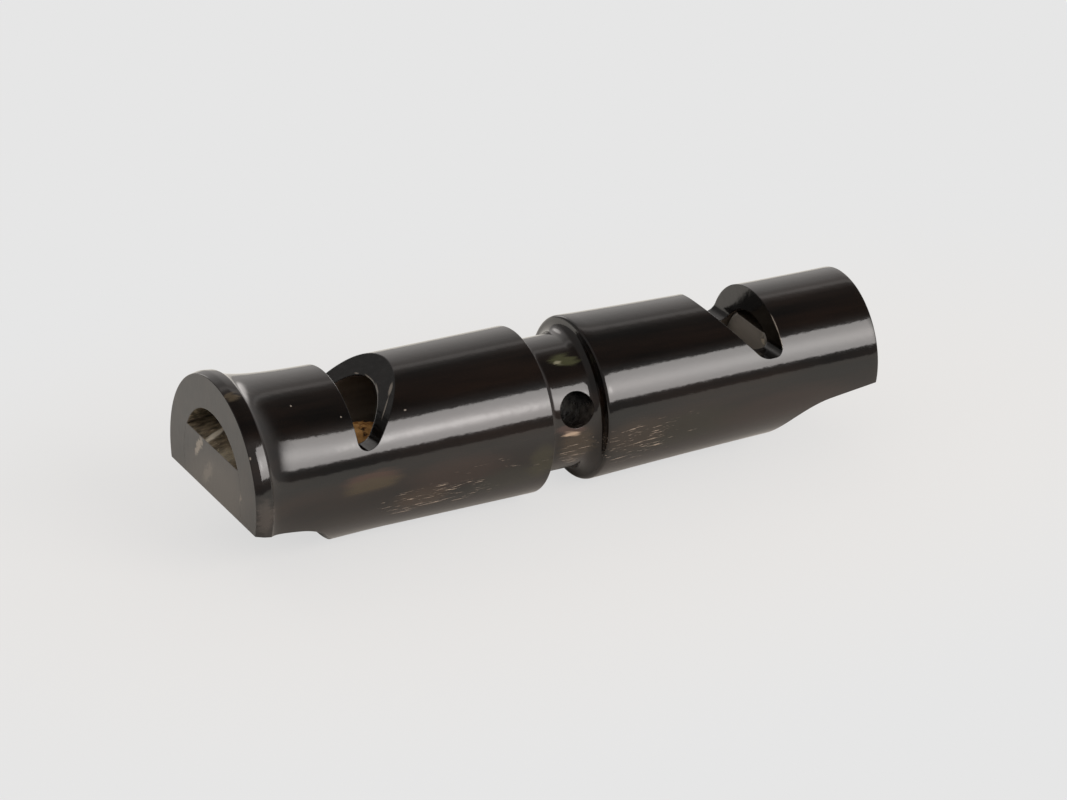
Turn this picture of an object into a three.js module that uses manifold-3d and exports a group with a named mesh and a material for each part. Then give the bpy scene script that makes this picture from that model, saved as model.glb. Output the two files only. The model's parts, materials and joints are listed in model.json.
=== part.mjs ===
// Double-ended dog whistle turned from buffalo horn.
// One end is a trill whistle with a flared lip and a cork pea, the other a plain, slimmer whistle.
// All sizes are in millimetres. X runs along the whistle from the trill mouth, Z points up through
// the windows. Distances named "from the mouth" are measured along X from that end's own face.
import * as THREE from 'three';
import { mergeVertices } from 'three/addons/utils/BufferGeometryUtils.js';
import Module from 'manifold-3d';

// Body
const wholeLength = 80;
const facetsAround = 48;
const curveSteps = 8;
const edgeBreak = 0.2;

// Flared lip at the trill mouth
const lipCrestRadius = 11.4;
const lipCrestFromMouth = 1.2;
const lipFaceDrop = 0.2;
const lipWidth = 2.1;
const flareLength = 18;

// The flare is one curve, steered by a point near the lip and one near the barrel. The shares
// are of the whole drop from the crest to the barrel.
const flareLipShare = 0.64;
const flareLipRun = 1.15;
const flareTailShare = 0.1;
const flareTailRun = 4.5;

// Trill barrel, from its mouth to the neck
const trillLength = 37.35;
const trillBarrelRadius = 9.57;

// Neck with the cord hole
const neckWidth = 6.9;
const neckRadius = 7.65;
const neckFillet = 1.5;
const cordHoleRadius = 2.1;
const cordHoleShift = 0.5;
const cordHoleLean = 17;
const cordHoleFacets = 24;

// Plain barrel, from the neck to its mouth
const plainRingRadius = 9.44;
const plainRingBreak = 0.4;
const plainMouthRadius = 8.62;
const plainStraightLength = 14;

// Bores, drilled from both mouths and blind at the neck
const trillBoreRadius = 7.4;
const plainBoreRadius = 5.8;
const chamberEndWall = 3.2;

// Windows: a square cut on the mouth side and a ramp on the chamber side
const trillCutFromMouth = 13.5;
const trillWindowFloor = 3.1;
const trillWindowGap = 5.8;
const plainCutFromMouth = 12.25;
const plainWindowFloor = 3.25;
const plainWindowGap = 4.9;
const rampLean = 0.88;
const windowRoll = 3.5;
const windowFloorRound = 1.1;

// Flats ground under both mouths for the teeth, each running out in the wheel's round
const trillRestBelowAxis = 2.65;
const trillRestSlope = 0.25;
const trillRestLength = 6.5;
const plainRestBelowAxis = 1.9;
const plainRestSlope = 0.15;
const plainRestLength = 5.7;
const grindingWheelRadius = 8.5;

// Fipple blocks glued into the bores, each with a flat top that rises towards the window
const trillWindwayChord = 3.37;
const trillWindwayExit = 6.25;
const plainWindwayChord = 2.6;
const plainWindwayExit = 4.6;
const blockEndBevel = 0.9;
const glueGap = 0.05;

// Cork pea in the trill chamber
const peaRadius = 4.75;
const peaClearance = 0.1;
const peaFacets = 24;

// What the cutters run past the surfaces that they cut
const overrun = 2;

const wasm = await Module();
wasm.setup();

const neckStart = trillLength;
const neckEnd = trillLength + neckWidth;
const lipFaceRadius = lipCrestRadius - lipFaceDrop;
const widestRadius = Math.max(lipCrestRadius, trillBarrelRadius, plainRingRadius);
const cutReach = widestRadius + overrun;

// Each end of the whistle. Its outlines are drawn from its own mouth, and toWhistle places them.
const trillEnd = {
  boreRadius: trillBoreRadius,
  chamberEnd: neckStart - chamberEndWall,
  cutFromMouth: trillCutFromMouth,
  windowFloor: trillWindowFloor,
  windowGap: trillWindowGap,
  restBelowAxis: trillRestBelowAxis,
  restSlope: trillRestSlope,
  restLength: trillRestLength,
  windwayChord: trillWindwayChord,
  windwayExit: trillWindwayExit,
  toWhistle: (solid) => solid,
};
const plainEnd = {
  boreRadius: plainBoreRadius,
  chamberEnd: wholeLength - neckEnd - chamberEndWall,
  cutFromMouth: plainCutFromMouth,
  windowFloor: plainWindowFloor,
  windowGap: plainWindowGap,
  restBelowAxis: plainRestBelowAxis,
  restSlope: plainRestSlope,
  restLength: plainRestLength,
  windwayChord: plainWindwayChord,
  windwayExit: plainWindwayExit,
  toWhistle: (solid) => solid.rotate([0, 0, 180]).translate([wholeLength, 0, 0]),
};

// Closed geometry to a solid that can be joined and cut
function toSolid(geometry) {
  const bare = geometry.clone();
  bare.deleteAttribute('normal');
  bare.deleteAttribute('uv');
  const merged = mergeVertices(bare);
  const corners = merged.index.array;
  const triangles = [];
  for (let i = 0; i < corners.length; i += 3) {
    const [a, b, c] = corners.slice(i, i + 3);
    if (a !== b && b !== c && c !== a) {
      triangles.push(a, b, c);
    }
  }
  return new wasm.Manifold(new wasm.Mesh({
    numProp: 3,
    vertProperties: new Float32Array(merged.attributes.position.array),
    triVerts: Uint32Array.from(triangles),
  }));
}

function toGeometry(solid) {
  const mesh = solid.getMesh();
  const geometry = new THREE.BufferGeometry();
  geometry.setAttribute('position', new THREE.BufferAttribute(mesh.vertProperties, mesh.numProp));
  geometry.setIndex(new THREE.BufferAttribute(mesh.triVerts, 1));
  geometry.computeVertexNormals();
  return geometry;
}

// Solid of revolution about X from (radius, x) points. Its facets touch the true circle at their
// middles, and one lies square under the axis.
function turned(outline) {
  const facetReach = 1 / Math.cos(Math.PI / facetsAround);
  const points = outline.map((point) => new THREE.Vector2(point.x * facetReach, point.y));
  const geometry = new THREE.LatheGeometry(points, facetsAround, Math.PI / facetsAround);
  geometry.rotateZ(-Math.PI / 2);
  return toSolid(geometry);
}

function turnedRod(radius, start, end) {
  return turned([
    new THREE.Vector2(0, start),
    new THREE.Vector2(radius, start),
    new THREE.Vector2(radius, end),
    new THREE.Vector2(0, end),
  ]);
}

// Cutter that runs right across the whistle along Y, from an outline in X and Z
function acrossCutter(outline) {
  const width = 2 * cutReach;
  const geometry = new THREE.ExtrudeGeometry(outline, {
    depth: width,
    bevelEnabled: false,
    curveSegments: curveSteps,
  });
  geometry.rotateX(Math.PI / 2);
  geometry.translate(0, width / 2, 0);
  return toSolid(geometry);
}

// Outside of the body as (radius, x) points, from the axis at one mouth to the axis at the other
function bodyOutline() {
  const path = new THREE.Path();
  path.moveTo(0, 0);
  path.lineTo(lipFaceRadius - edgeBreak, 0);
  path.lineTo(lipFaceRadius, edgeBreak);
  path.lineTo(lipCrestRadius, lipCrestFromMouth);
  path.lineTo(lipCrestRadius, lipWidth);
  const flareDrop = lipCrestRadius - trillBarrelRadius;
  path.bezierCurveTo(
    lipCrestRadius - flareDrop * flareLipShare, lipWidth + flareLipRun,
    trillBarrelRadius + flareDrop * flareTailShare, lipWidth + flareTailRun,
    trillBarrelRadius, flareLength,
  );
  path.lineTo(trillBarrelRadius, neckStart - edgeBreak);
  path.lineTo(trillBarrelRadius - edgeBreak, neckStart);
  path.lineTo(neckRadius + neckFillet, neckStart);
  path.quadraticCurveTo(neckRadius, neckStart, neckRadius, neckStart + neckFillet);
  path.lineTo(neckRadius, neckEnd - neckFillet);
  path.quadraticCurveTo(neckRadius, neckEnd, neckRadius + neckFillet, neckEnd);
  path.lineTo(plainRingRadius - plainRingBreak, neckEnd);
  path.lineTo(plainRingRadius, neckEnd + plainRingBreak);
  path.quadraticCurveTo(
    plainMouthRadius, wholeLength - plainStraightLength,
    plainMouthRadius, wholeLength - edgeBreak,
  );
  path.lineTo(plainMouthRadius - edgeBreak, wholeLength);
  path.lineTo(0, wholeLength);
  return path.getPoints(curveSteps);
}

// Window: down the square cut, round its floor, then up the ramp, whose edge at the top of the
// bore stands one window gap from the cut. Both windows roll a little towards the far side.
function windowCutter(end) {
  const rampAt = (z) => end.cutFromMouth + end.windowGap + rampLean * (z - end.boreRadius);
  const rampFoot = rampAt(end.windowFloor);
  const floorRound = Math.min(windowFloorRound, (rampFoot - end.cutFromMouth) / 2);
  const outline = new THREE.Shape();
  outline.moveTo(end.cutFromMouth, cutReach);
  outline.lineTo(end.cutFromMouth, end.windowFloor + floorRound);
  outline.quadraticCurveTo(
    end.cutFromMouth, end.windowFloor,
    end.cutFromMouth + floorRound, end.windowFloor,
  );
  outline.lineTo(rampFoot, end.windowFloor);
  outline.lineTo(rampAt(cutReach), cutReach);
  return acrossCutter(outline);
}

// Flat under the mouth, sloping down from the face and then round the grinding wheel
function restCutter(end) {
  const slope = Math.atan(end.restSlope);
  const flatAt = (x) => -end.restBelowAxis - end.restSlope * x;
  const wheelX = end.restLength - grindingWheelRadius * Math.sin(slope);
  const wheelZ = flatAt(end.restLength) - grindingWheelRadius * Math.cos(slope);
  const outline = new THREE.Shape();
  outline.moveTo(-overrun, flatAt(-overrun));
  outline.lineTo(end.restLength, flatAt(end.restLength));
  outline.absarc(wheelX, wheelZ, grindingWheelRadius, Math.PI / 2 - slope, 0, true);
  outline.lineTo(wheelX + grindingWheelRadius, -cutReach - grindingWheelRadius);
  outline.lineTo(-overrun, -cutReach - grindingWheelRadius);
  return acrossCutter(outline);
}

// Everything above the flat top of a fipple block
function windwayCutter(end) {
  const rise = (end.windwayExit - end.windwayChord) / end.cutFromMouth;
  const topAt = (x) => end.windwayChord + rise * x;
  const farSide = end.cutFromMouth + overrun;
  const outline = new THREE.Shape();
  outline.moveTo(-overrun, topAt(-overrun));
  outline.lineTo(farSide, topAt(farSide));
  outline.lineTo(farSide, cutReach);
  outline.lineTo(-overrun, cutReach);
  return acrossCutter(outline);
}

// Cord hole through the neck, leaning so that the end nearer to the viewer is the higher one
function cordHoleCutter() {
  const geometry = new THREE.CylinderGeometry(
    cordHoleRadius, cordHoleRadius, 2 * cutReach, cordHoleFacets,
  );
  geometry.rotateX(-THREE.MathUtils.degToRad(cordHoleLean));
  geometry.translate((neckStart + neckEnd) / 2 + cordHoleShift, 0, 0);
  return toSolid(geometry);
}

function hornBody() {
  let body = turned(bodyOutline());
  for (const end of [trillEnd, plainEnd]) {
    const bore = turnedRod(end.boreRadius, -overrun, end.chamberEnd);
    body = body.subtract(end.toWhistle(bore)).subtract(end.toWhistle(restCutter(end)));
    body = body.subtract(end.toWhistle(windowCutter(end)).rotate([-windowRoll, 0, 0]));
  }
  return body.subtract(cordHoleCutter());
}

// Plug for one mouth, bevelled at its inner end, which is flush with the window's square cut
function fippleBlock(end) {
  const radius = end.boreRadius - glueGap;
  const plug = turned([
    new THREE.Vector2(0, 0),
    new THREE.Vector2(radius, 0),
    new THREE.Vector2(radius, end.cutFromMouth - blockEndBevel),
    new THREE.Vector2(radius - blockEndBevel, end.cutFromMouth),
    new THREE.Vector2(0, end.cutFromMouth),
  ]);
  return end.toWhistle(plug.subtract(windwayCutter(end)).subtract(restCutter(end)));
}

function corkPea() {
  return toSolid(new THREE.SphereGeometry(peaRadius, peaFacets, peaFacets / 2));
}

function hornMaterial() {
  return new THREE.MeshStandardMaterial({ color: 0x1d1613, roughness: 0.22, metalness: 0 });
}

function corkMaterial() {
  return new THREE.MeshStandardMaterial({ color: 0xb57a3f, roughness: 0.9, metalness: 0 });
}

function namedMesh(name, solid, material) {
  const mesh = new THREE.Mesh(toGeometry(solid), material);
  mesh.name = name;
  return mesh;
}

const whistle = new THREE.Group();
whistle.add(namedMesh('horn_body', hornBody(), hornMaterial()));
whistle.add(namedMesh('trill_block', fippleBlock(trillEnd), hornMaterial()));
whistle.add(namedMesh('plain_block', fippleBlock(plainEnd), hornMaterial()));

// The pea lies on the chamber floor against its block, under the window
const pea = namedMesh('cork_pea', corkPea(), corkMaterial());
pea.position.x = trillCutFromMouth + peaRadius + peaClearance;
pea.position.z = peaRadius + peaClearance - trillBoreRadius;
whistle.add(pea);

// The origin is under the middle of the length, on the surface that the whistle lies on
const outerBox = new THREE.Box3().setFromObject(whistle);
const part = new THREE.Group();
whistle.position.set(-wholeLength / 2, 0, -outerBox.min.z);
part.add(whistle);

export default part;
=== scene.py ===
import json
import math

import bmesh
import bpy
from mathutils import Matrix, Vector, noise
from mathutils.geometry import interpolate_bezier

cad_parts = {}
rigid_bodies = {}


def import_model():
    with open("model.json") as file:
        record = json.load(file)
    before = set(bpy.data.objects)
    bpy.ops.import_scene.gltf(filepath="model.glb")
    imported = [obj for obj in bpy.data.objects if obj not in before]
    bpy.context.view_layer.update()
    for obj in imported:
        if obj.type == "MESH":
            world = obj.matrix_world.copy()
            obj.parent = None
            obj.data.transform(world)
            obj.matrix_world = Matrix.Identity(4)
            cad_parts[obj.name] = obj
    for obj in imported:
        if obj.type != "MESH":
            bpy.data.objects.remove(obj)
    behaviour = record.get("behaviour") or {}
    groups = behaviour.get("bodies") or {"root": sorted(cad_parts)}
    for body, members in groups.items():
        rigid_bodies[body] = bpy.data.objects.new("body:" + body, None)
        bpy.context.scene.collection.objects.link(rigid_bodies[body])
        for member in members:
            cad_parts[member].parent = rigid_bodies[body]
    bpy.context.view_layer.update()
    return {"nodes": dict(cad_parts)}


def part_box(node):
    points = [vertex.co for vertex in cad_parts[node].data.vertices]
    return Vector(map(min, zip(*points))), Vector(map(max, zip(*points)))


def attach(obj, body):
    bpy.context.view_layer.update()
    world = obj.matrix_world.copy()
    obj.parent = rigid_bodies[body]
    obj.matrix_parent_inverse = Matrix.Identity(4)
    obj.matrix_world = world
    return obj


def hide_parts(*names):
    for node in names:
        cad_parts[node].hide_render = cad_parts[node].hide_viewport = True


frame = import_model()
print("frame loaded:", sorted(frame["nodes"]))

millimetre = 0.001
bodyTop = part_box("horn_body")[1].z / millimetre


def hexColour(code):
    # sRGB hex to the linear values that Blender's sockets take
    parts = [int(code[i:i + 2], 16) / 255 for i in (1, 3, 5)]
    return [p / 12.92 if p <= 0.04045 else ((p + 0.055) / 1.055) ** 2.4 for p in parts] + [1]


def addNode(tree, kind, settings=None, links=None):
    # settings go to a socket of that name or number, or else to the node itself
    node = tree.nodes.new(kind)
    for name, value in (settings or {}).items():
        if isinstance(name, int) or name in node.inputs:
            node.inputs[name].default_value = value
        else:
            setattr(node, name, value)
    for name, source in (links or {}).items():
        tree.links.new(source, node.inputs[name])
    return node


def perMillimetre(size):
    # how often a pattern of that size in millimetres repeats in a metre
    return 1 / (size * millimetre)


def newMaterial(name):
    material = bpy.data.materials.new(name)
    material.use_nodes = True
    material.node_tree.nodes.clear()
    return material, material.node_tree


def patch(tree, place, centre, size, turn, strength):
    # strength round the middle of an ellipsoid, in millimetres and degrees, and nothing at its skin
    local = addNode(tree, "ShaderNodeMapping", {
        "vector_type": "TEXTURE",
        "Location": [v * millimetre for v in centre],
        "Rotation": [math.radians(v) for v in turn],
        "Scale": [v * millimetre for v in size],
    }, {"Vector": place}).outputs[0]
    reach = addNode(tree, "ShaderNodeVectorMath", {"operation": "LENGTH"}, {0: local}).outputs["Value"]
    return addNode(tree, "ShaderNodeMapRange", {
        "From Min": 1.0, "From Max": 0.4, "To Max": strength, "interpolation_type": "SMOOTHSTEP",
    }, {"Value": reach}).outputs[0]


def buffaloHorn(name, look):
    # Buffalo horn: keratin that is nearly black, browner where it is thin, with pale fibres along the
    # grain where a tool has opened them. How a face was worked sets its gloss and its marks.
    material, tree = newMaterial(name)
    place = addNode(tree, "ShaderNodeTexCoord").outputs["Object"]
    grain = addNode(tree, "ShaderNodeMapping",
                    {"Scale": (1 / look["grainStretch"], 1, 1)}, {"Vector": place}).outputs[0]
    cloud = addNode(tree, "ShaderNodeTexNoise",
                    {"Scale": perMillimetre(look["cloudWidth"]), "Detail": 4}, {"Vector": grain}).outputs[0]
    least, most = look["clouds"]
    cloudy = addNode(tree, "ShaderNodeMapRange",
                     {"From Min": least, "From Max": most}, {"Value": cloud}).outputs[0]
    colour = addNode(tree, "ShaderNodeMix",
                     {"data_type": "RGBA", 6: hexColour(look["dark"]), 7: hexColour(look["brown"])},
                     {0: cloudy}).outputs[2]
    # stains, and the patches of painted light and shade among them, end raggedly, because they follow the
    # fibres
    wander = addNode(tree, "ShaderNodeTexNoise",
                     {"Scale": perMillimetre(look["wander"]), "Detail": 3},
                     {"Vector": grain}).outputs["Color"]
    centred = addNode(tree, "ShaderNodeVectorMath",
                      {"operation": "SUBTRACT", 1: (0.5, 0.5, 0.5)}, {0: wander}).outputs[0]
    ragged = addNode(tree, "ShaderNodeVectorMath",
                     {"operation": "MULTIPLY_ADD", 1: [v * millimetre for v in look["ragged"]]},
                     {0: centred, 2: place}).outputs[0]
    for centre, size, turn, shade, strength in look["stainsAndPaintedLight"]:
        amount = patch(tree, ragged, centre, size, turn, strength)
        colour = addNode(tree, "ShaderNodeMix",
                         {"data_type": "RGBA", 7: hexColour(shade)}, {0: amount, 6: colour}).outputs[2]
    # pale fibres: a few everywhere, and more where the horn lies open
    along = addNode(tree, "ShaderNodeMapping", {
        "Scale": (1 / look["fibreStretch"], 1, 1), "Rotation": [math.radians(v) for v in look["fibreTurn"]],
    }, {"Vector": place}).outputs[0]
    strands = addNode(tree, "ShaderNodeTexNoise",
                      {"Scale": perMillimetre(look["fibreWidth"]), "Detail": 3, "Roughness": 0.6},
                      {"Vector": along}).outputs[0]
    dense = addNode(tree, "ShaderNodeMath", {"operation": "MAXIMUM", 0: look["fibres"], 1: 0.0}).outputs[0]
    for centre, size, turn, strength in look["openings"]:
        amount = patch(tree, ragged, centre, size, turn, strength)
        dense = addNode(tree, "ShaderNodeMath", {"operation": "MAXIMUM"}, {0: dense, 1: amount}).outputs[0]
    few, many = look["fibreLimits"]
    limit = addNode(tree, "ShaderNodeMapRange",
                    {"To Min": few, "To Max": many}, {"Value": dense}).outputs[0]
    over = addNode(tree, "ShaderNodeMath", {"operation": "SUBTRACT"}, {0: strands, 1: limit}).outputs[0]
    shown = addNode(tree, "ShaderNodeMapRange", {"From Max": look["fibreFade"]}, {"Value": over}).outputs[0]
    colour = addNode(tree, "ShaderNodeMix",
                     {"data_type": "RGBA", 7: hexColour(look["fibre"])}, {0: shown, 6: colour}).outputs[2]
    # painted highlights: pale marks that stand in for glints on edges and specks
    for centre, size, turn in look["paintedHighlights"]:
        amount = patch(tree, place, centre, size, turn, look["highlightCover"])
        colour = addNode(tree, "ShaderNodeMix",
                         {"data_type": "RGBA", 7: hexColour(look["highlightColour"])},
                         {0: amount, 6: colour}).outputs[2]
    # the tool's marks vary the gloss, and fibres are duller than the horn between them
    tool = addNode(tree, "ShaderNodeMapping", {
        "Scale": look["markScale"], "Rotation": [math.radians(v) for v in look["markTurn"]],
    }, {"Vector": place}).outputs[0]
    marks = addNode(tree, "ShaderNodeTexNoise",
                    {"Scale": perMillimetre(look["markWidth"]), "Detail": 3}, {"Vector": tool}).outputs[0]
    satin = addNode(tree, "ShaderNodeMapRange", {
        "To Min": look["roughness"] - look["uneven"], "To Max": look["roughness"] + look["uneven"],
    }, {"Value": marks}).outputs[0]
    rough = addNode(tree, "ShaderNodeMath",
                    {"operation": "MULTIPLY_ADD", 1: look["fibreDull"]}, {0: shown, 2: satin}).outputs[0]
    # handling has rounded every edge a little, more here than there
    worn = addNode(tree, "ShaderNodeMapRange", {
        "To Min": look["edge"][0] * millimetre, "To Max": look["edge"][1] * millimetre,
    }, {"Value": cloud}).outputs[0]
    normal = addNode(tree, "ShaderNodeBevel", {"samples": 6}, {"Radius": worn}).outputs[0]
    waves = addNode(tree, "ShaderNodeTexNoise",
                    {"Scale": perMillimetre(look["waveLength"]), "Detail": 1}, {"Vector": place}).outputs[0]
    for height, depth, strength, sunk in ((marks, look["markDepth"], 1.0, False),
                                          (waves, look["waveHeight"], 1.0, False),
                                          (shown, look["fibreDepth"], 0.5, True)):
        normal = addNode(tree, "ShaderNodeBump",
                         {"Strength": strength, "Distance": depth * millimetre, "invert": sunk},
                         {"Height": height, "Normal": normal}).outputs[0]
    shader = addNode(tree, "ShaderNodeBsdfPrincipled",
                     {"IOR": look["ior"], "Specular IOR Level": look["gloss"]},
                     {"Base Color": colour, "Roughness": rough, "Normal": normal})
    addNode(tree, "ShaderNodeOutputMaterial", {}, {"Surface": shader.outputs[0]})
    return material


# Turned and polished to a high gloss, so it mirrors the room in soft waves.
# Places are in millimetres in the frame, and turns in degrees. A stain or a patch of painted light or shade
# has its middle, size, turn, shade and strength, an opening the same without a shade, and a painted highlight
# only its middle, size and turn.
hornLook = {
    "ior": 1.54, "dark": "#070504", "brown": "#1b120d", "cloudWidth": 3.0, "clouds": (0.38, 0.68),
    "grainStretch": 8, "wander": 0.5, "ragged": (2.8, 0.9, 0.9),
    "stainsAndPaintedLight": [
        ((14.0, -9.0, 7.5), (12.0, 2.5, 3.0), (0, 0, 0), "#1f1d13", 0.7),
        ((28.0, -8.4, 7.5), (12.0, 2.5, 3.0), (0, 0, 0), "#241813", 0.7),
        ((-8.0, -9.2, 6.0), (7.0, 2.5, 2.4), (0, 0, 0), "#22211a", 0.7),
        ((-25.2, -9.6, 10.3), (4.6, 2.0, 1.1), (0, 0, 0), "#39261c", 0.9),
        ((-25.2, -9.6, 9.5), (4.6, 2.0, 1.1), (0, 0, 0), "#372d1c", 0.9),
        ((-18.8, -8.9, 6.2), (4.6, 2.0, 2.2), (0, 0, 0), "#33261b", 0.8),
        ((-14.5, -9.5, 8.6), (8.0, 2.0, 2.6), (0, 0, 0), "#281b15", 0.8),
        ((-4.0, -9.2, 7.6), (2.2, 2.0, 3.0), (0, 0, 0), "#2b2819", 0.8),
        ((1.4, -7.2, 7.2), (3.0, 2.4, 3.8), (0, 0, 0), "#352b1f", 0.9),
        ((0.3, -7.6, 9.8), (2.3, 1.0, 0.8), (0, 10, 0), "#42302a", 0.8),
        ((0.5, -7.6, 9.35), (1.5, 1.0, 0.36), (0, 12, 0), "#a48f7b", 0.9),
        # painted highlight: a greenish-grey patch and a pale dot on the top of the neck, above the cord hole
        ((1.5, -3.6, 16.5), (2.2, 1.5, 0.9), (0, 10, 0), "#43442f", 0.8),
        ((0.7, -3.7, 16.4), (0.6, 0.6, 0.4), (0, 10, 0), "#8a8672", 0.7),
        ((8.0, -9.2, 8.0), (5.0, 1.8, 3.0), (0, 0, 0), "#2a2119", 0.8),
        ((-39.3, -3.6, 20.6), (1.2, 0.9, 0.7), (0, 0, 0), "#4d4436", 0.8),
        ((-38.9, -11.2, 9.5), (1.4, 1.0, 2.8), (0, 0, 0), "#3a3430", 0.8),
        ((-21.0, 9.0, 8.0), (10.0, 3.0, 3.4), (0, 0, 0), "#2a2016", 0.8),
        ((-33.0, 8.0, 14.0), (4.0, 4.0, 3.0), (0, 0, 0), "#241a15", 0.7),
        ((1.0, 7.0, 6.0), (3.0, 3.0, 3.4), (0, 0, 0), "#352b1f", 0.8),
        ((11.0, 8.8, 10.0), (10.0, 3.0, 3.6), (0, 0, 0), "#231b12", 0.8),
        ((30.0, 7.0, 5.5), (8.0, 4.0, 3.0), (0, 0, 0), "#26201a", 0.7),
        ((-11.0, 0.0, 0.5), (15.0, 5.0, 1.6), (0, 0, 0), "#2a2118", 0.8),
        ((15.0, 2.0, 0.8), (12.0, 4.0, 1.6), (0, 0, 0), "#241d15", 0.8),
    ],
    "openings": [
        ((-17.0, -8.5, 6.0), (13.0, 3.0, 3.6), (0, 0, 0), 0.85),
        ((-25.0, -9.6, 9.0), (5.4, 2.0, 2.4), (0, 0, 0), 0.4),
        ((-12.0, -9.4, 8.0), (9.0, 2.0, 2.6), (0, 0, 0), 0.55),
        ((-4.0, -9.2, 7.6), (3.4, 2.0, 3.4), (0, 0, 0), 0.6),
        ((1.2, -6.9, 6.6), (3.6, 2.6, 3.6), (0, 0, 0), 0.9),
        ((8.4, -8.6, 7.2), (9.5, 3.0, 5.2), (0, 0, 0), 0.8),
        ((16.0, -9.0, 8.0), (8.0, 2.0, 3.0), (0, 0, 0), 0.5),
        ((27.0, -8.4, 6.6), (12.0, 2.5, 3.4), (0, 0, 0), 0.45),
        ((-15.0, 9.0, 7.6), (8.0, 2.4, 3.0), (0, 0, 0), 0.7),
        ((1.0, 7.0, 8.0), (3.4, 2.4, 3.4), (0, 0, 0), 0.85),
        ((17.0, 8.6, 9.0), (8.0, 2.4, 3.4), (0, 0, 0), 0.65),
        ((-27.0, 5.0, 2.6), (6.0, 3.6, 2.0), (0, 0, 0), 0.65),
        ((-9.0, -1.0, 0.3), (9.0, 4.0, 1.4), (0, 0, 0), 0.7),
        ((12.0, 1.0, 0.7), (9.0, 4.0, 1.4), (0, 0, 0), 0.7),
    ],
    # painted highlights: pale marks along the cut edges of the windows, and small specks, which stand in for
    # glints on the gloss
    "paintedHighlights": [
        ((-20.4, -4.15, 17.7), (1.1, 0.34, 0.34), (0, -36, 48)),
        ((-21.7, -5.5, 16.3), (1.8, 0.15, 0.15), (0, -38, 44)),
        ((-20.66, 0.4, 17.13), (0.14, 1.7, 0.13), (0, 0, 0)),
        ((-20.95, -2.0, 16.93), (1.3, 0.13, 0.13), (0, -17, 75)),
        ((-20.95, 3.0, 16.7), (0.13, 1.3, 0.12), (-22, 0, 0)),
        ((27.72, -5.5, 16.5), (0.17, 2.4, 0.2), (40, 0, 0)),
        ((27.72, -7.0, 14.95), (0.13, 1.3, 0.2), (53, 0, 0)),
        ((-32.75, -4.75, 18.53), (0.14, 0.2, 0.12), (0, 0, 0)),
        ((-27.6, -6.55, 16.9), (0.12, 0.15, 0.12), (0, 0, 0)),
        ((-20.0, -6.94, 16.3), (0.2, 0.15, 0.12), (0, 0, 0)),
        ((-39.85, -9.4, 15.75), (0.15, 0.2, 0.25), (0, 0, 0)),
        ((12.0, 1.2, 19.0), (0.2, 0.2, 0.2), (0, 0, 0)),
    ],
    "highlightColour": "#857d74", "highlightCover": 0.9,
    "fibre": "#968779", "fibres": 0.1, "fibreWidth": 0.15, "fibreStretch": 16, "fibreTurn": (0, 4, 0),
    "fibreLimits": (0.84, 0.54), "fibreFade": 0.08, "fibreDull": 0.25, "fibreDepth": 0.01,
    "markScale": (0.8, 1, 1), "markTurn": (0, 0, 0), "markWidth": 0.8, "markDepth": 0.009,
    "waveLength": 6.0, "waveHeight": 0.015, "roughness": 0.09, "uneven": 0.03, "gloss": 0.5,
    "edge": (0.03, 0.18),
}
polished = buffaloHorn("polishedBuffaloHorn", hornLook)
# the window cuts were filed and lightly buffed: a softer gloss over fine slanting marks
buffed = buffaloHorn("buffedBuffaloHorn", {
    **hornLook, "dark": "#060504", "brown": "#100d0a",
    "stainsAndPaintedLight": [((-21.5, -7.0, 13.0), (2.0, 2.5, 2.0), (0, 0, 0), "#2c3529", 0.6)],
    "openings": [], "fibres": 0.05, "roughness": 0.15, "uneven": 0.06, "gloss": 0.36, "edge": (0.08, 0.3),
    "markScale": (1, 0.3, 0.3), "markTurn": (0, 48, 0), "markWidth": 0.5, "markDepth": 0.03,
})
# the faces were sanded flat: an even, greyer satin
sanded = buffaloHorn("sandedBuffaloHorn", {
    **hornLook, "dark": "#120e0b", "brown": "#241c17", "cloudWidth": 2.0, "grainStretch": 1,
    "ragged": (0.3, 1.5, 1.5), "paintedHighlights": [],
    "stainsAndPaintedLight": [
        ((-40, 0, 7.5), (1.0, 12.0, 6.0), (-25, 0, 0), "#47413a", 0.9),
        ((-40, 3.5, 11.6), (1.0, 0.6, 2.3), (35, 0, 0), "#9a8f82", 0.75),
        ((-40, 1.2, 9.4), (1.0, 2.4, 1.0), (-50, 0, 0), "#887e72", 0.35),
        ((-40, -7.1, 10.0), (1.0, 0.25, 0.9), (0, 0, 0), "#8a8074", 0.5),
        # painted light: the plain block's end faces away from the lamp and is painted pale grey as if lit, on
        # top of the pale of its sanded end grain; the cream dot on it is a painted highlight
        ((27.75, 0.0, 10.6), (1.0, 8.0, 7.0), (0, 0, 0), "#a8a198", 0.95),
        ((27.75, -3.1, 13.3), (1.0, 0.6, 0.6), (0, 0, 0), "#d8cdb8", 0.9),
    ],
    "openings": [], "fibres": 0.1, "fibre": "#8a7d70", "fibreStretch": 1, "fibreWidth": 0.3,
    "roughness": 0.34, "uneven": 0.04,
    "markScale": (1, 1, 0.2), "markWidth": 0.3, "markDepth": 0.006, "edge": (0.05, 0.2),
})
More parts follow.
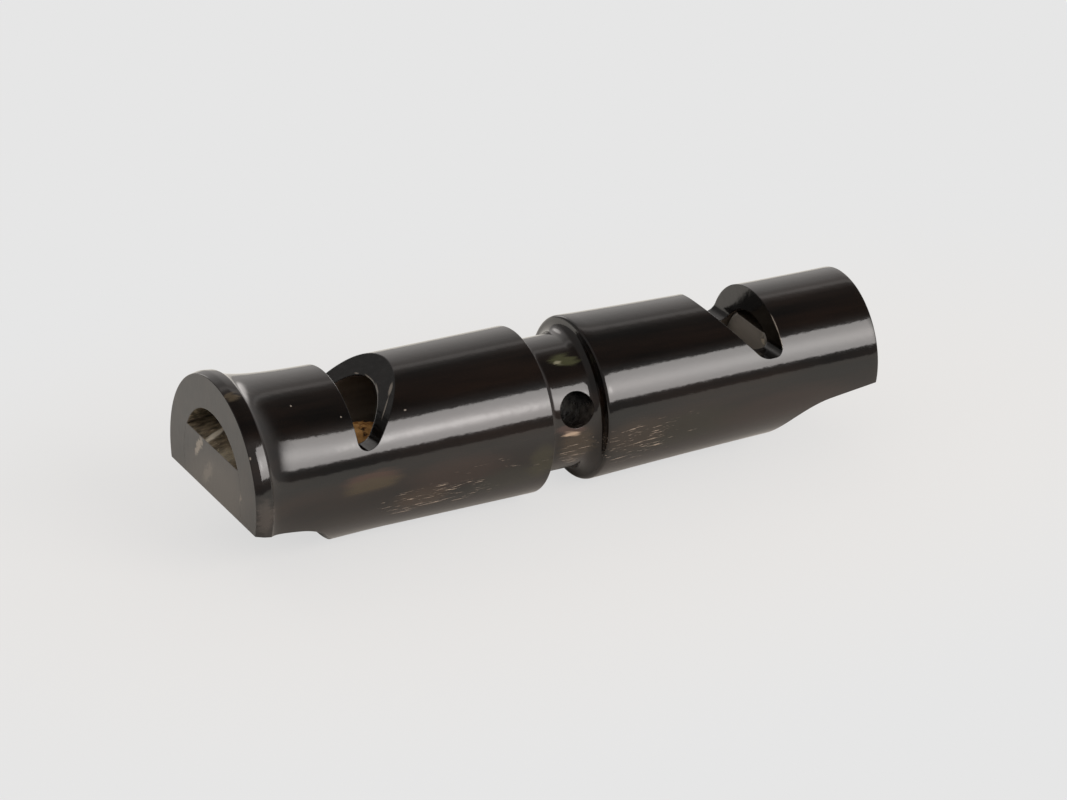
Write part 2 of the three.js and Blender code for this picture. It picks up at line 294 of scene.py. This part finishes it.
# the windway was rasped by hand: torn, dull fibres, olive and grey, with one cream streak, and painted shade
# deep in the plain end's windway
rasped = buffaloHorn("raspedBuffaloHorn", {
    **hornLook, "dark": "#453d30", "brown": "#8a7d68", "cloudWidth": 0.8, "grainStretch": 2, "paintedHighlights": [],
    "ragged": (0.5, 0.4, 0.5), "gloss": 0.2,
    "stainsAndPaintedLight": [
        ((-38.7, 2.0, 13.4), (2.6, 0.6, 1.2), (0, 0, 22), "#ded5c4", 0.95),
        ((-39.2, -3.0, 13.2), (1.6, 2.4, 1.0), (0, 0, 20), "#a09783", 0.6),
        # painted shade: the plain end's deep, narrow windway is painted near black
        ((30.0, 0.0, 14.0), (7.0, 9.0, 6.0), (0, 0, 0), "#1d1713", 0.9),
    ],
    "openings": [((-37.5, 0, 13.0), (6, 8, 3), (0, 0, 0), 0.75)],
    "fibre": "#b8ac94", "fibres": 0.45, "fibreWidth": 0.2, "fibreStretch": 4, "fibreTurn": (0, 0, 30),
    "roughness": 0.6, "uneven": 0.1, "markScale": (0.3, 1, 1), "markTurn": (0, 0, 15), "markWidth": 0.4,
    "markDepth": 0.2, "edge": (0.1, 0.3),
})
# the bores were drilled and reamed: dull, with faint rings round the axis
drilled = buffaloHorn("drilledBuffaloHorn", {
    **hornLook, "dark": "#82776b", "brown": "#a09486", "cloudWidth": 2.0, "paintedHighlights": [],
    "ragged": (0.6, 0.6, 0.6), "gloss": 0.3, "fibreStretch": 3, "fibreWidth": 0.25, "fibre": "#a0957f",
    "stainsAndPaintedLight": [((-38.5, 4.0, 15.0), (4.0, 5.0, 4.0), (0, 0, 0), "#3c3528", 0.95)],
    "openings": [((-39.0, 4.5, 14.5), (4.0, 5.0, 5.0), (0, 0, 0), 1.0)],
    "fibres": 0.15, "roughness": 0.42, "uneven": 0.1,
    "markScale": (1, 0.05, 0.05), "markWidth": 0.35, "markDepth": 0.03, "edge": (0.05, 0.2),
})
# the cord has rubbed the cross hole smoother; the near black over the upper half inside the hole is painted
# shade
cordHoleWithPaintedShade = buffaloHorn("cordHoleShadedHorn", {
    **hornLook, "dark": "#282320", "brown": "#4c4640", "cloudWidth": 0.9, "grainStretch": 1,
    "stainsAndPaintedLight": [((2.8, -4.5, 12.7), (2.4, 6.5, 2.3), (-17, 0, 0), "#030202", 1.0)],
    "openings": [], "paintedHighlights": [], "fibres": 0.3, "roughness": 0.24, "uneven": 0.08, "gloss": 0.14,
    "markScale": (1, 0.6, 1), "markWidth": 0.5, "markDepth": 0.06, "edge": (0.1, 0.3),
})


def ballCork(name, look):
    # Natural cork, cut to a ball: pale tan grains, darker lines between them and brown pores
    material, tree = newMaterial(name)
    place = addNode(tree, "ShaderNodeTexCoord").outputs["Object"]
    grains = addNode(tree, "ShaderNodeTexVoronoi",
                     {"Scale": perMillimetre(look["grain"])}, {"Vector": place})
    cells = addNode(tree, "ShaderNodeSeparateColor", {}, {0: grains.outputs["Color"]}).outputs[0]
    tint = addNode(tree, "ShaderNodeTexNoise",
                   {"Scale": perMillimetre(look["tint"]), "Detail": 5, "Roughness": 0.7},
                   {"Vector": place}).outputs[0]
    mixed = addNode(tree, "ShaderNodeMath",
                    {"operation": "MULTIPLY_ADD", 1: look["grainShare"]}, {0: cells, 2: tint}).outputs[0]
    tone = addNode(tree, "ShaderNodeMapRange",
                   {"From Min": look["tones"][0], "From Max": look["tones"][1]},
                   {"Value": mixed}).outputs[0]
    colour = addNode(tree, "ShaderNodeMix",
                     {"data_type": "RGBA", 6: hexColour(look["deep"]), 7: hexColour(look["pale"])},
                     {0: tone}).outputs[2]
    pores = addNode(tree, "ShaderNodeTexNoise",
                    {"Scale": perMillimetre(look["pore"]), "Detail": 3}, {"Vector": place}).outputs[0]
    pits = addNode(tree, "ShaderNodeMapRange",
                   {"From Min": look["pits"][0], "From Max": look["pits"][1]},
                   {"Value": pores}).outputs[0]
    colour = addNode(tree, "ShaderNodeMix",
                     {"data_type": "RGBA", 7: hexColour(look["poreColour"])},
                     {0: pits, 6: colour}).outputs[2]
    bump = addNode(tree, "ShaderNodeBump",
                   {"Strength": 0.7, "Distance": look["grainDepth"] * millimetre, "invert": True},
                   {"Height": grains.outputs["Distance"]}).outputs[0]
    bump = addNode(tree, "ShaderNodeBump",
                   {"Strength": 0.8, "Distance": look["poreDepth"] * millimetre, "invert": True},
                   {"Height": pits, "Normal": bump}).outputs[0]
    shader = addNode(tree, "ShaderNodeBsdfPrincipled", {"Roughness": look["roughness"], "IOR": look["ior"]},
                     {"Base Color": colour, "Normal": bump})
    addNode(tree, "ShaderNodeOutputMaterial", {}, {"Surface": shader.outputs[0]})
    return material


# grain, tint, pore and the depths are in millimetres
corkLook = {
    "deep": "#9a6228", "pale": "#e2ae6c", "poreColour": "#3f2611", "roughness": 0.85, "ior": 1.4,
    "grain": 0.6, "grainShare": 0.35, "grainDepth": 0.15, "tint": 1.02, "tones": (0.4, 0.95),
    "pore": 0.9, "pits": (0.56, 0.66), "poreDepth": 0.1,
}
cork = ballCork("naturalCork", corkLook)
print("materials made")


# Horn pieces, in millimetres from the trill mouth, with the axis along X. A curve is its start, two
# handles and end, each as a distance along the axis and a radius.
bodySizes = {
    "length": 80, "facets": 256,
    "lipCrest": 11.4, "lipFace": ((0, 11.14), (0, 11.2), (0.06, 11.22), (0.12, 11.24)),
    "lipRise": ((0.7, 11.35), (0.85, 11.385), (0.95, 11.4), (1.1, 11.4)),
    "lipBack": ((1.85, 11.33), (1.97, 11.32), (2.05, 11.27), (2.1, 11.2)),
    "flare": ((2.1, 11.2), (3.25, 10.229), (6.6, 9.753), (18, 9.57)),
    "neck": (37.35, 44.25), "neckRadius": 7.65, "neckFillet": 1.5,
    "ringRadius": 9.44, "ringBreak": 0.4, "plainRadius": 8.62, "plainBend": 66, "edge": 0.12,
}
axisHeight = bodyTop - bodySizes["lipCrest"]

endSizes = {
    "trill": {"bore": 7.4, "chamberEnd": 34.15, "cut": 13.5, "floor": 3.1, "gap": 5.8,
              "rest": (2.65, 0.25, 6.5), "chord": 3.37, "exit": 6.25},
    "plain": {"bore": 5.8, "chamberEnd": 32.55, "cut": 12.25, "floor": 3.25, "gap": 4.9,
              "rest": (1.9, 0.15, 5.7), "chord": 2.6, "exit": 4.6},
}
cutting = {
    "rampLean": 0.88, "roll": 3.5, "floorRound": (1.1, 0.9), "floorFacets": 8,
    "wheel": 8.5, "wheelFacets": 24, "boreFacets": 160, "reach": 14, "overrun": 2,
}


def meshFrom(bm, name, materials):
    mesh = bpy.data.meshes.new(name)
    bm.to_mesh(mesh)
    bm.free()
    for material in materials:
        mesh.materials.append(material)
    return mesh


def newObject(name, mesh):
    piece = bpy.data.objects.new(name, mesh)
    bpy.context.scene.collection.objects.link(piece)
    return piece


def spinOutline(points, steps):
    # closed solid of revolution about X from (x, radius) points that start and end on the axis
    bm = bmesh.new()
    corners = [bm.verts.new((x, 0, radius)) for x, radius in points]
    edges = [bm.edges.new(pair) for pair in zip(corners, corners[1:])]
    bmesh.ops.spin(bm, geom=corners + edges, cent=(0, 0, 0), axis=(1, 0, 0), dvec=(0, 0, 0),
                   angle=2 * math.pi, steps=steps, use_merge=True, use_duplicate=False)
    bmesh.ops.remove_doubles(bm, verts=bm.verts, dist=1e-5)
    bmesh.ops.recalc_face_normals(bm, faces=bm.faces)
    return bm


def slabOutline(points):
    # a prism right across the whistle along Y, from (x, z) points
    bm = bmesh.new()
    corners = [bm.verts.new((x, -cutting["reach"], z)) for x, z in points]
    face = bm.faces.new(corners)
    grown = bmesh.ops.extrude_face_region(bm, geom=[face])
    moved = [v for v in grown["geom"] if isinstance(v, bmesh.types.BMVert)]
    bmesh.ops.translate(bm, verts=moved, vec=(0, 2 * cutting["reach"], 0))
    bmesh.ops.recalc_face_normals(bm, faces=bm.faces)
    return bm


def curve(start, handleA, handleB, end, count):
    knots = [Vector((x, radius, 0)) for x, radius in (start, handleA, handleB, end)]
    return [(p.x, p.y) for p in interpolate_bezier(*knots, count)]


def roundCorner(start, corner, end, count, pull=0.4):
    # the handles lie between the corner and the ends, at that share of the way from the corner
    handles = [tuple(c + pull * (p - c) for p, c in zip(point, corner)) for point in (start, end)]
    return curve(start, *handles, end, count)


def bodyOutline(s):
    edge, length = s["edge"], s["length"]
    points = [(0, 0)] + curve(*s["lipFace"], 5) + curve(*s["lipRise"], 6)
    points += curve(*s["lipBack"], 6)[:-1] + curve(*s["flare"], 60)
    (start, end), (low, fillet) = s["neck"], (s["neckRadius"], s["neckFillet"])
    barrel = s["flare"][-1][1]
    points += roundCorner((start - edge, barrel), (start, barrel), (start, barrel - edge), 5)
    points += roundCorner((start, low + fillet), (start, low), (start + fillet, low), 12)
    points += roundCorner((end - fillet, low), (end, low), (end, low + fillet), 12)
    ring, broken, plain = s["ringRadius"], s["ringBreak"], s["plainRadius"]
    points += roundCorner((end, ring - broken), (end, ring), (end + broken, ring), 6)
    # the right barrel tapers to the plain end in one long curve
    bend, last = (s["plainBend"], plain), (length - edge, plain)
    points += roundCorner((end + broken, ring), bend, last, 40, 1 / 3)[1:]
    points += roundCorner(last, (length, plain), (length, plain - edge), 5)[1:]
    return points + [(length, 0)]


def rampPoint(end, z):
    return end["cut"] + end["gap"] + cutting["rampLean"] * (z - end["bore"])


def restWheel(end):
    # the rest runs flat from the mouth and ends in the round of the grinding wheel
    below, slope, length = end["rest"]
    tilt, wheel = math.atan(slope), cutting["wheel"]
    return length - wheel * math.sin(tilt), -below - slope * length - wheel * math.cos(tilt), tilt


def boreCutter(end):
    bm = bmesh.new()
    length, radius = end["chamberEnd"] + cutting["overrun"], end["bore"]
    bmesh.ops.create_cone(bm, cap_ends=True, segments=cutting["boreFacets"],
                          radius1=radius, radius2=radius, depth=length)
    bmesh.ops.rotate(bm, verts=bm.verts, matrix=Matrix.Rotation(math.radians(90), 3, "Y"))
    bmesh.ops.translate(bm, verts=bm.verts, vec=(length / 2 - cutting["overrun"], 0, 0))
    return bm


def windowCutter(end):
    cut, floor, top = end["cut"], end["floor"], cutting["reach"]
    bm = slabOutline([(cut, top), (cut, floor), (rampPoint(end, floor), floor), (rampPoint(end, top), top)])
    # the file has a round belly, so both lower corners are round
    for x, radius in zip((cut, rampPoint(end, floor)), cutting["floorRound"]):
        corner = [e for e in bm.edges
                  if all(abs(v.co.x - x) < 1e-4 and abs(v.co.z - floor) < 1e-4 for v in e.verts)]
        bmesh.ops.bevel(bm, geom=corner, offset=radius, offset_type="OFFSET",
                        segments=cutting["floorFacets"], profile=0.5, affect="EDGES", material=-1)
    return bm


def restCutter(end):
    below, slope, length = end["rest"]
    wheelX, wheelZ, tilt = restWheel(end)
    wheel, count, near = cutting["wheel"], cutting["wheelFacets"], -cutting["overrun"]
    turns = [(math.pi / 2 - tilt) * (1 - i / count) for i in range(count + 1)]
    rim = [(wheelX + wheel * math.cos(turn), wheelZ + wheel * math.sin(turn)) for turn in turns]
    low = -cutting["reach"] - wheel
    return slabOutline([(near, -below - slope * near)] + rim + [(wheelX + wheel, low), (near, low)])


def windwayCutter(end):
    # the floor rises from the mouth to the window
    rise = (end["exit"] - end["chord"]) / end["cut"]
    near, far, top = -cutting["overrun"], end["cut"] + cutting["overrun"], cutting["reach"]
    return slabOutline([(near, end["chord"] + rise * near), (far, end["chord"] + rise * far),
                        (far, top), (near, top)])


def placed(bm, isPlain, rolled=False):
    # a plain-end shape is drawn from its own mouth, then turned round to the far end
    if isPlain:
        bmesh.ops.rotate(bm, verts=bm.verts, matrix=Matrix.Rotation(math.pi, 3, "Z"))
        bmesh.ops.translate(bm, verts=bm.verts, vec=(bodySizes["length"], 0, 0))
    if rolled:
        bmesh.ops.rotate(bm, verts=bm.verts, matrix=Matrix.Rotation(math.radians(-cutting["roll"]), 3, "X"))
    return bm


def cutAway(piece, cutters):
    # each cutter brings the finish that its tool leaves on the faces that it cuts
    for bm, material in cutters:
        cutter = newObject("cutter", meshFrom(bm, "cutter", [material]))
        step = piece.modifiers.new("cut", "BOOLEAN")
        step.operation, step.solver, step.object = "DIFFERENCE", "EXACT", cutter
        step.material_mode = "TRANSFER"
        shaped = bpy.data.meshes.new_from_object(piece.evaluated_get(bpy.context.evaluated_depsgraph_get()))
        piece.modifiers.clear()
        piece.data = shaped
        bpy.data.objects.remove(cutter)


# the weld is in millimetres, and the bend and the crease are in degrees
finishing = {"weld": 0.003, "straightBend": 1, "softCrease": 28}


def finishPiece(piece, body, node):
    # millimetres from the mouth to metres in the frame, and smooth shading up to the cut edges
    toFrame = Matrix.Translation((-bodySizes["length"] / 2 * millimetre, 0, axisHeight * millimetre))
    bm = bmesh.new()
    bm.from_mesh(piece.data)
    # a cut leaves its points in any order, so they are sorted to be welded alike in every run
    points = sorted(bm.verts, key=lambda v: tuple(v.co))
    bmesh.ops.remove_doubles(bm, verts=points, dist=finishing["weld"])
    # it also leaves points along straight edges, which would become slivers when triangulated
    bend, crease = math.radians(finishing["straightBend"]), math.radians(finishing["softCrease"])
    loose = [v for v in bm.verts if len(v.link_edges) == 2 and v.calc_edge_angle(1) < bend]
    bmesh.ops.dissolve_verts(bm, verts=loose)
    bmesh.ops.transform(bm, matrix=toFrame @ Matrix.Scale(millimetre, 4), verts=bm.verts)
    for edge in bm.edges:
        edge.smooth = len(edge.link_faces) == 2 and edge.calc_face_angle() < crease
    for face in bm.faces:
        face.smooth = True
    bm.to_mesh(piece.data)
    bm.free()
    weigh = piece.modifiers.new("weighted normals", "WEIGHTED_NORMAL")
    weigh.keep_sharp = True
    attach(piece, body)
    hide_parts(node)


trill, plain = endSizes["trill"], endSizes["plain"]

turned = spinOutline(bodyOutline(bodySizes), bodySizes["facets"])
hornBody = newObject("hornBody", meshFrom(turned, "hornBody", [polished, sanded]))
# the two end faces are sanded, and all the rest of the turned shape is polished
for face in hornBody.data.polygons:
    if abs(face.normal.x) > 0.99 and (face.center.x < 0.01 or face.center.x > bodySizes["length"] - 0.01):
        face.material_index = 1
# the cord hole leans towards the viewer, right through the neck
cordHole = {"radius": 2.1, "at": 41.3, "lean": 17, "facets": 64, "depth": 30}
holeCutter = bmesh.new()
bmesh.ops.create_cone(holeCutter, cap_ends=True, segments=cordHole["facets"], radius1=cordHole["radius"],
                      radius2=cordHole["radius"], depth=cordHole["depth"])
bmesh.ops.rotate(holeCutter, verts=holeCutter.verts,
                 matrix=Matrix.Rotation(math.radians(90 - cordHole["lean"]), 3, "X"))
bmesh.ops.translate(holeCutter, verts=holeCutter.verts, vec=(cordHole["at"], 0, 0))
cutAway(hornBody, [
    (placed(boreCutter(trill), False), drilled),
    (placed(boreCutter(plain), True), drilled),
    (placed(restCutter(trill), False), polished),
    (placed(restCutter(plain), True), polished),
    (placed(windowCutter(trill), False, True), buffed),
    (placed(windowCutter(plain), True, True), buffed),
    (holeCutter, cordHoleWithPaintedShade),
])
finishPiece(hornBody, "whistle", "horn_body")
print("horn body:", len(hornBody.data.polygons), "faces")


fipple = {"glueGap": 0.004, "bevel": 0.45}


def fippleBlock(name, end, isPlain):
    # a turned plug with its far edge bevelled, then the windway and the rest cut off it
    radius, bevel, cut = end["bore"] - fipple["glueGap"], fipple["bevel"], end["cut"]
    outline = [(0, 0), (0, radius), (cut - bevel, radius), (cut, radius - bevel), (cut, 0)]
    turned = placed(spinOutline(outline, cutting["boreFacets"]), isPlain)
    block = newObject(name, meshFrom(turned, name, [sanded]))
    cutAway(block, [
        (placed(windwayCutter(end), isPlain), rasped),
        (placed(restCutter(end), isPlain), polished),
    ])
    return block


trillBlock = fippleBlock("trillBlock", trill, False)
finishPiece(trillBlock, "whistle", "trill_block")
plainBlock = fippleBlock("plainBlock", plain, True)
finishPiece(plainBlock, "whistle", "plain_block")
print("blocks:", len(trillBlock.data.polygons), len(plainBlock.data.polygons), "faces")

peaSizes = {"radius": 4.75, "clearance": 0.1, "subdivisions": 6,
            "dent": 0.3, "dentSize": 1.3, "dentOctaves": 4}


def corkBall(s):
    # a hand-cut ball: not quite round, with small dents over its skin
    bm = bmesh.new()
    bmesh.ops.create_icosphere(bm, subdivisions=s["subdivisions"], radius=s["radius"])
    for v in bm.verts:
        out = v.co.normalized()
        dent = noise.fractal(v.co / s["dentSize"], 1.0, 2.0, s["dentOctaves"])
        v.co -= out * s["dent"] * (0.5 + 0.5 * max(-1, min(1, dent)))
    x = trill["cut"] + s["radius"] + s["clearance"]
    z = s["radius"] + s["clearance"] - trill["bore"]
    bmesh.ops.translate(bm, verts=bm.verts, vec=(x, 0, z))
    return bm


corkPea = newObject("corkPea", meshFrom(corkBall(peaSizes), "corkPea", [cork]))
finishPiece(corkPea, "pea", "cork_pea")
print("pea made")

stageLook = {
    "radius": 0.2, "facets": 128, "oval": 0.55, "seenFade": (0.02, 0.07), "mirrorFade": (0.008, 0.05),
    "paper": "#f3ede5", "seen": "#e6e6e6", "mirrored": "#fbf5ec", "shadowKept": 0.2,
}


def paperFloor(look):
    # white paper that lightens to the plain background away from the whistle
    material, tree = newMaterial("whitePaper")
    place = addNode(tree, "ShaderNodeTexCoord").outputs["Object"]
    path = addNode(tree, "ShaderNodeLightPath").outputs
    oval = addNode(tree, "ShaderNodeMapping", {"Scale": (look["oval"], 1, 1)}, {"Vector": place}).outputs[0]
    reach = addNode(tree, "ShaderNodeVectorMath", {"operation": "LENGTH"}, {0: oval}).outputs["Value"]
    seenFar, mirrorFar = [
        addNode(tree, "ShaderNodeMapRange",
                {"From Min": near, "From Max": far, "To Min": least, "interpolation_type": "SMOOTHSTEP"},
                {"Value": reach}).outputs[0]
        for (near, far), least in ((look["seenFade"], 1 - look["shadowKept"]), (look["mirrorFade"], 0.0))
    ]
    direct = addNode(tree, "ShaderNodeMath", {"operation": "MAXIMUM"},
                     {0: path["Is Camera Ray"], 1: path["Is Transmission Ray"]}).outputs[0]
    seen = addNode(tree, "ShaderNodeMath", {"operation": "MULTIPLY"}, {0: seenFar, 1: direct}).outputs[0]
    amount = addNode(tree, "ShaderNodeMath", {"operation": "MULTIPLY_ADD"},
                     {0: mirrorFar, 1: path["Is Glossy Ray"], 2: seen}).outputs[0]
    shade = addNode(tree, "ShaderNodeMix",
                    {"data_type": "RGBA", 6: hexColour(look["seen"]), 7: hexColour(look["mirrored"])},
                    {0: path["Is Glossy Ray"]}).outputs[2]
    paper = addNode(tree, "ShaderNodeBsdfDiffuse", {"Color": hexColour(look["paper"])})
    glow = addNode(tree, "ShaderNodeEmission", {}, {"Color": shade})
    mixed = addNode(tree, "ShaderNodeMixShader", {}, {0: amount, 1: paper.outputs[0], 2: glow.outputs[0]})
    addNode(tree, "ShaderNodeOutputMaterial", {}, {"Surface": mixed.outputs[0]})
    return material


floorMesh = bmesh.new()
bmesh.ops.create_circle(floorMesh, cap_ends=True, segments=stageLook["facets"], radius=stageLook["radius"])
floor = newObject("floor", meshFrom(floorMesh, "floor", [paperFloor(stageLook)]))

# What the polished horn mirrors, by the angle round X from straight up towards the viewer's side:
# a white sweep behind, a dark room overhead, and a dark gap over the front edge of the paper
roomLook = [
    (-180, 0.35), (-117, 0.44), (-105, 0.55), (-96, 0.53), (-87, 0.76), (-77, 0.87), (-65, 0.89), (-53, 0.79),
    (-45, 0.62), (-41, 0.62), (-39, 0.88), (-35, 0.85), (-31, 0.38), (-22, 0.15), (-10, 0.11), (20, 0.08),
    (28, 0.11), (35, 0.27), (40, 0.5), (81, 0.4), (84, 0.26), (180, 0.26),
]
# the room is bright past the plain end and dim past the trill end: from, to, and level
roomEnds = [(0.62, 0.88, 0.6), (-0.15, -0.45, 0.3)]
roomTone = {"tint": "#fffaf6", "fill": 0.3}
# low lamps behind: way to the middle, and half width, in thousandths of the sky's radius, and strength
backLamps = [((0, 960, 250), (200, 700, 270), 2.5), ((700, 680, 200), (150, 600, 260), 2.8)]


def studioWorld(look, ends, lamps, tone, seen):
    world = bpy.data.worlds.new("studio")
    bpy.context.scene.world = world
    world.use_nodes = True
    tree = world.node_tree
    tree.nodes.clear()
    way = addNode(tree, "ShaderNodeTexCoord").outputs["Generated"]
    parts = addNode(tree, "ShaderNodeSeparateXYZ", {}, {0: way}).outputs
    front = addNode(tree, "ShaderNodeMath", {"operation": "MULTIPLY", 1: -1}, {0: parts["Y"]}).outputs[0]
    angle = addNode(tree, "ShaderNodeMath", {"operation": "ARCTAN2"}, {0: front, 1: parts["Z"]}).outputs[0]
    turn = addNode(tree, "ShaderNodeMapRange",
                   {"From Min": -math.pi, "From Max": math.pi}, {"Value": angle}).outputs[0]
    ramp = addNode(tree, "ShaderNodeValToRGB", {}, {0: turn})
    stops = ramp.color_ramp.elements
    while len(stops) < len(look):
        stops.new(0.5)
    for stop, (degrees, level) in zip(stops, look):
        stop.position = (degrees + 180) / 360
        stop.color = (level, level, level, 1)
    room = ramp.outputs[0]
    places = [(addNode(tree, "ShaderNodeMapRange",
                       {"From Min": near, "From Max": far, "interpolation_type": "SMOOTHSTEP"},
                       {"Value": parts["X"]}).outputs[0], level) for near, far, level in ends]
    places += [(patch(tree, way, middle, half, (0, 0, 0), 1.0), level) for middle, half, level in lamps]
    for amount, level in places:
        room = addNode(tree, "ShaderNodeMix", {"data_type": "RGBA", 7: (level, level, level, 1)},
                       {0: amount, 6: room}).outputs[2]
    path, fill = addNode(tree, "ShaderNodeLightPath").outputs, tone["fill"]
    filled = addNode(tree, "ShaderNodeMix",
                     {"data_type": "RGBA", "blend_type": "ADD", 7: (fill, fill, fill, 1)},
                     {0: path["Is Diffuse Ray"], 6: room}).outputs[2]
    warm = addNode(tree, "ShaderNodeMix",
                   {"data_type": "RGBA", "blend_type": "MULTIPLY", 0: 1.0, 7: hexColour(tone["tint"])},
                   {6: filled}).outputs[2]
    shown = addNode(tree, "ShaderNodeMix", {"data_type": "RGBA", 7: hexColour(seen)},
                    {0: path["Is Camera Ray"], 6: warm}).outputs[2]
    back = addNode(tree, "ShaderNodeBackground", {}, {"Color": shown})
    addNode(tree, "ShaderNodeOutputWorld", {}, {"Surface": back.outputs[0]})


studioWorld(roomLook, roomEnds, backLamps, roomTone, stageLook["seen"])

# the large lamp on the viewer's right, with its middles and spreads in shares of the box
boxLight = {
    "azimuth": 28.5, "elevation": 25.85, "distance": 0.9, "shift": 0.035, "width": 0.77, "height": 0.53,
    "turn": 5, "tint": "#fffaf7", "fadeFrom": 0.65, "edge": 5.0,
    "bells": [(2.4, (0.5, 0.47), (4.0, 0.24)), (5.2, (0.412, 0.45), (0.036, 0.13))],
}


def softBox(look):
    light = bpy.data.lights.new("softBox", "AREA")
    light.shape, light.size, light.size_y = "RECTANGLE", look["width"], look["height"]
    light.energy = math.pi * look["width"] * look["height"]    # a strength of 1 then shows as 1
    light.use_nodes = True
    tree = light.node_tree
    tree.nodes.clear()
    spot = addNode(tree, "ShaderNodeNewGeometry").outputs["Parametric"]
    across = addNode(tree, "ShaderNodeSeparateXYZ", {}, {0: spot}).outputs["X"]
    # brightness falls off in bells round the lamp in the box: the first bell stands on the edge's level,
    # and the next one on the first
    under = {}
    for height, (midX, midY), (wide, tall) in look["bells"]:
        off = addNode(tree, "ShaderNodeVectorMath",
                      {"operation": "SUBTRACT", 1: (midX, midY, 0)}, {0: spot}).outputs[0]
        far = addNode(tree, "ShaderNodeVectorMath",
                      {"operation": "MULTIPLY", 1: (1 / wide, 1 / tall, 0)}, {0: off}).outputs[0]
        square = addNode(tree, "ShaderNodeVectorMath",
                         {"operation": "DOT_PRODUCT"}, {0: far, 1: far}).outputs["Value"]
        fall = addNode(tree, "ShaderNodeMath", {"operation": "MULTIPLY", 1: -1}, {0: square}).outputs[0]
        bell = addNode(tree, "ShaderNodeMath", {"operation": "EXPONENT"}, {0: fall}).outputs[0]
        total = addNode(tree, "ShaderNodeMath",
                        {"operation": "MULTIPLY_ADD", 1: height, 2: look["edge"]}, {0: bell, **under})
        under = {2: total.outputs[0]}
    fade = addNode(tree, "ShaderNodeMapRange",
                   {"From Min": 1.0, "From Max": look["fadeFrom"], "interpolation_type": "SMOOTHSTEP"},
                   {"Value": across}).outputs[0]
    level = addNode(tree, "ShaderNodeMath", {"operation": "MULTIPLY"}, {0: under[2], 1: fade}).outputs[0]
    shine = addNode(tree, "ShaderNodeEmission", {"Color": hexColour(look["tint"])}, {"Strength": level})
    addNode(tree, "ShaderNodeOutputLight", {}, {"Surface": shine.outputs[0]})
    lamp = bpy.data.objects.new("softBox", light)
    bpy.context.scene.collection.objects.link(lamp)
    around, up = math.radians(look["azimuth"]), math.radians(look["elevation"])
    way = Vector((math.sin(around) * math.cos(up), -math.cos(around) * math.cos(up), math.sin(up)))
    side = Vector((math.cos(around), math.sin(around), 0))
    lamp.location = way * look["distance"] + side * look["shift"] + Vector((0, 0, axisHeight * millimetre))
    facing = way.to_track_quat("Z", "Y").to_matrix() @ Matrix.Rotation(math.radians(-look["turn"]), 3, "Z")
    lamp.rotation_euler = facing.to_euler()
    lamp.visible_camera = False


softBox(boxLight)

cameraLook = {"place": (-0.24341, -0.44513, 0.25419), "turn": (64.3201, -1.0674, -28.1322), "lens": 168.7,
              "sensor": 36, "clip": (0.01, 10)}
camera = bpy.data.objects.new("camera", bpy.data.cameras.new("camera"))
bpy.context.scene.collection.objects.link(camera)
camera.data.lens, camera.data.sensor_width = cameraLook["lens"], cameraLook["sensor"]
camera.data.clip_start, camera.data.clip_end = cameraLook["clip"]
camera.location = cameraLook["place"]
camera.rotation_euler = [math.radians(v) for v in cameraLook["turn"]]
bpy.context.scene.camera = camera
bpy.context.scene.view_settings.view_transform = "Standard"

print("stage, light and camera set")
